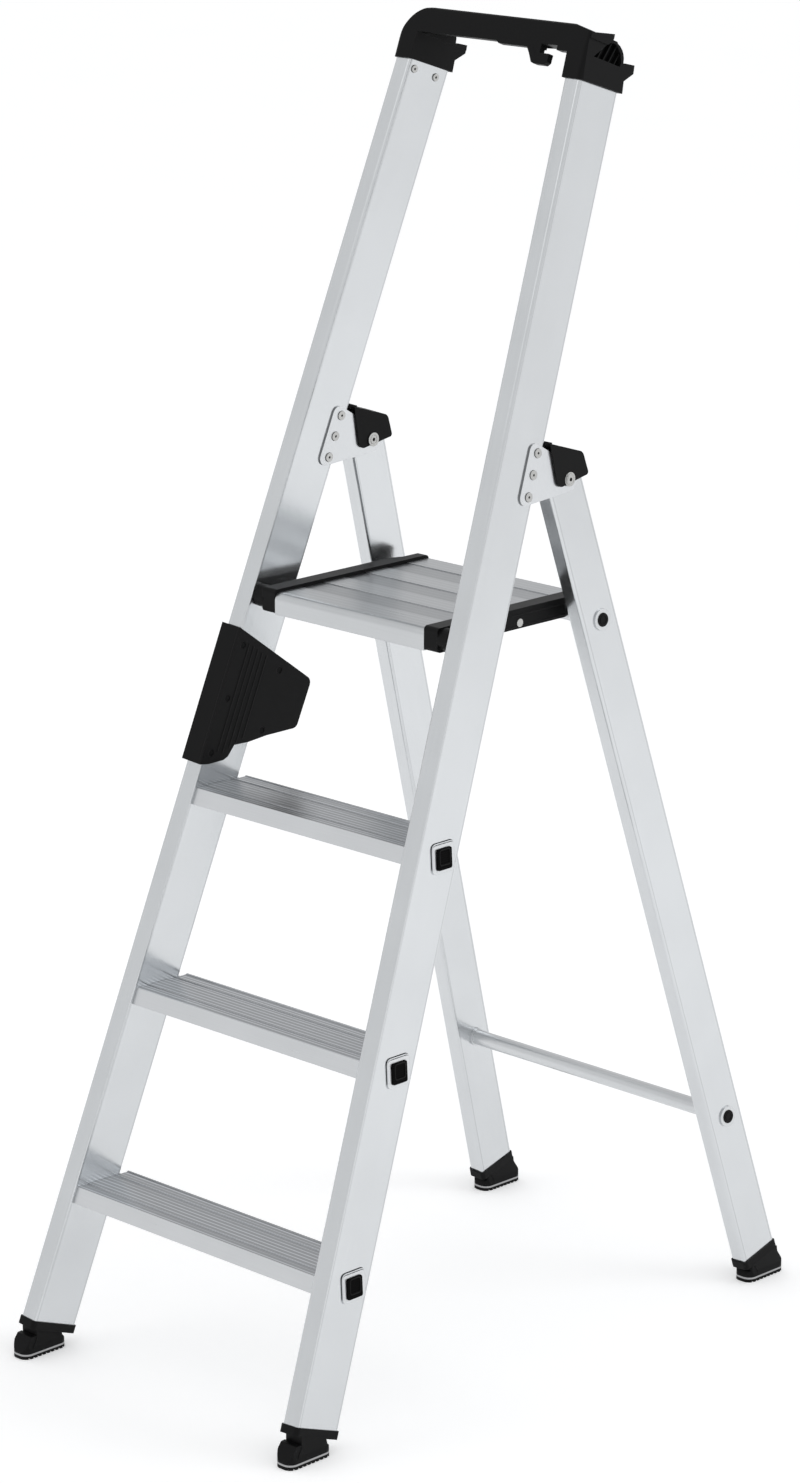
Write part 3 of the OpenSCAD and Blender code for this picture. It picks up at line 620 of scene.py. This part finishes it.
def bolt_details():
    """Turned ring on each hinge bolt head, and a near-black disc at the end of its centre hole as painted shade.
    """
    rings, hole_shades = [], []
    for side in (-1, 1):
        face = hinge_side + side * BOLT_REACH
        ring = [Vector((face, y, z)) for y, z in circle((hinge.y, hinge.z), 5.4 * MM)]
        rings.append(tube(ring, 0.45 * MM, True))
        hole_end = (face - side * 2.4 * MM, hinge.y, hinge.z)
        # painted shade: a near-black disc deep in the bolt's centre hole
        hole_shades.append(dome(hole_end, (side, 0, 0), 2.1 * MM, 0.6 * MM))
    add_piece("bolt_head_rings", "rear_frame", "fastener", rings)
    add_piece("bolt_hole_shades", "rear_frame", "fastener", hole_shades, look="dark_fastener_and_shade")


def collar_rims():
    """Rolled outer edges of the step box collars, and a dark bead of painted shade between collar and stile."""
    rims, gap_shades = [], []
    for n in STEPS:
        rim = rounded_box(box_centre(n), 17.9 * MM, 16.4 * MM, 5.4 * MM)
        gap_shade = rounded_box(box_centre(n), 18.9 * MM, 17.4 * MM, 6.4 * MM)
        rims.append([on_plane(stile_place, STILE_W / 2 + 1.3 * MM, y, z) for y, z in rim])
        # painted shade: a dark bead round each collar where it meets the stile
        gap_shades.append([on_plane(stile_place, STILE_W / 2 + 0.1 * MM, y, z) for y, z in gap_shade])
    add_beads("step_collar_rims", "front_frame", "tread", rims, 0.8 * MM, closed=True)
    add_beads("step_collar_gap_shades", "front_frame", "tread", gap_shades, 0.45 * MM, closed=True, look="dark_fastener_and_shade")


plug_rims()
collar_rims()
pad_ribs()
rail_beads()
foot_beads()
rivet_details()
bolt_details()


# ---------------------------------------------------------------- floor, light and camera

def add_floor():
    """Plain white floor that runs past the picture on all sides."""
    reach = 60.0
    level = -0.2 * MM
    mesh = bpy.data.meshes.new("floor")
    corners = [(x * reach, y * reach, level) for x, y in ((-1, -1), (1, -1), (1, 1), (-1, 1))]
    mesh.from_pydata(corners, [], [(0, 1, 2, 3)])
    floor = bpy.data.objects.new("floor", mesh)
    bpy.context.scene.collection.objects.link(floor)
    s = Shader("floor_white")
    patch = s.noise(s.place, 3.0, 2.0)
    s.surface.inputs["Emission Color"].default_value = (1, 1, 1, 1)
    s.surface.inputs["Emission Strength"].default_value = 0.27
    colour = s.tone((0.9, 0.9, 0.9), s.scaled(patch, 0.99, 1.01))
    mesh.materials.append(s.finish(colour, 0.0, 0.9, s.bump(patch, 0.1 * MM), 0.1))


def add_area_light(name, place, target, size, power, colour):
    light = bpy.data.lights.new(name, "AREA")
    light.shape = "DISK"
    light.size = size
    light.energy = power
    light.color = colour
    holder = bpy.data.objects.new(name, light)
    holder.location = place
    holder.rotation_euler = (Vector(target) - Vector(place)).to_track_quat("-Z", "Y").to_euler()
    bpy.context.scene.collection.objects.link(holder)


def set_world():
    """Even white surroundings, a little dimmer low down."""
    world = bpy.data.worlds.new("studio")
    world.use_nodes = True
    bpy.context.scene.world = world
    tree = world.node_tree
    tree.nodes.clear()
    coordinates = tree.nodes.new("ShaderNodeTexCoord")
    parts = tree.nodes.new("ShaderNodeSeparateXYZ")
    height = tree.nodes.new("ShaderNodeMapRange")
    height.inputs["From Min"].default_value = -0.1
    height.inputs["From Max"].default_value = 0.9
    height.inputs["To Min"].default_value = 0.87
    height.inputs["To Max"].default_value = 0.80
    background = tree.nodes.new("ShaderNodeBackground")
    background.inputs["Color"].default_value = (0.985, 0.99, 1.0, 1)
    output = tree.nodes.new("ShaderNodeOutputWorld")
    tree.links.new(coordinates.outputs["Generated"], parts.inputs[0])
    tree.links.new(parts.outputs["Z"], height.inputs["Value"])
    tree.links.new(height.outputs["Result"], background.inputs["Strength"])
    tree.links.new(background.outputs[0], output.inputs["Surface"])


def add_camera():
    """Long lens from the front right, a little above the platform."""
    camera = bpy.data.cameras.new("camera")
    camera.sensor_fit = "VERTICAL"
    camera.sensor_height = 24.0
    camera.lens = 76.62
    camera.shift_x = 0.00106
    camera.shift_y = -0.0301
    camera.clip_end = 200.0
    holder = bpy.data.objects.new("camera", camera)
    azimuth = math.radians(44.714)
    elevation = math.radians(14.871)
    distance = 5.6192
    target = Vector((0.02716, -0.0420, 0.80161))
    back = Vector((math.sin(azimuth) * math.cos(elevation), -math.cos(azimuth) * math.cos(elevation),
                   math.sin(elevation)))
    holder.location = target + distance * back
    holder.rotation_euler = (-back).to_track_quat("-Z", "Y").to_euler()
    bpy.context.scene.collection.objects.link(holder)
    bpy.context.scene.camera = holder


add_floor()
set_world()
mid_height = (0, 0, 0.8)
add_area_light("key", (3.6, 2.4, 3.4), mid_height, 2.6, 30.0, (0.97, 0.99, 1.0))
add_area_light("fill", (-2.0, -4.0, 4.6), mid_height, 3.0, 12.0, (1.0, 0.99, 0.98))
add_camera()
bpy.context.scene.view_settings.view_transform = "Standard"
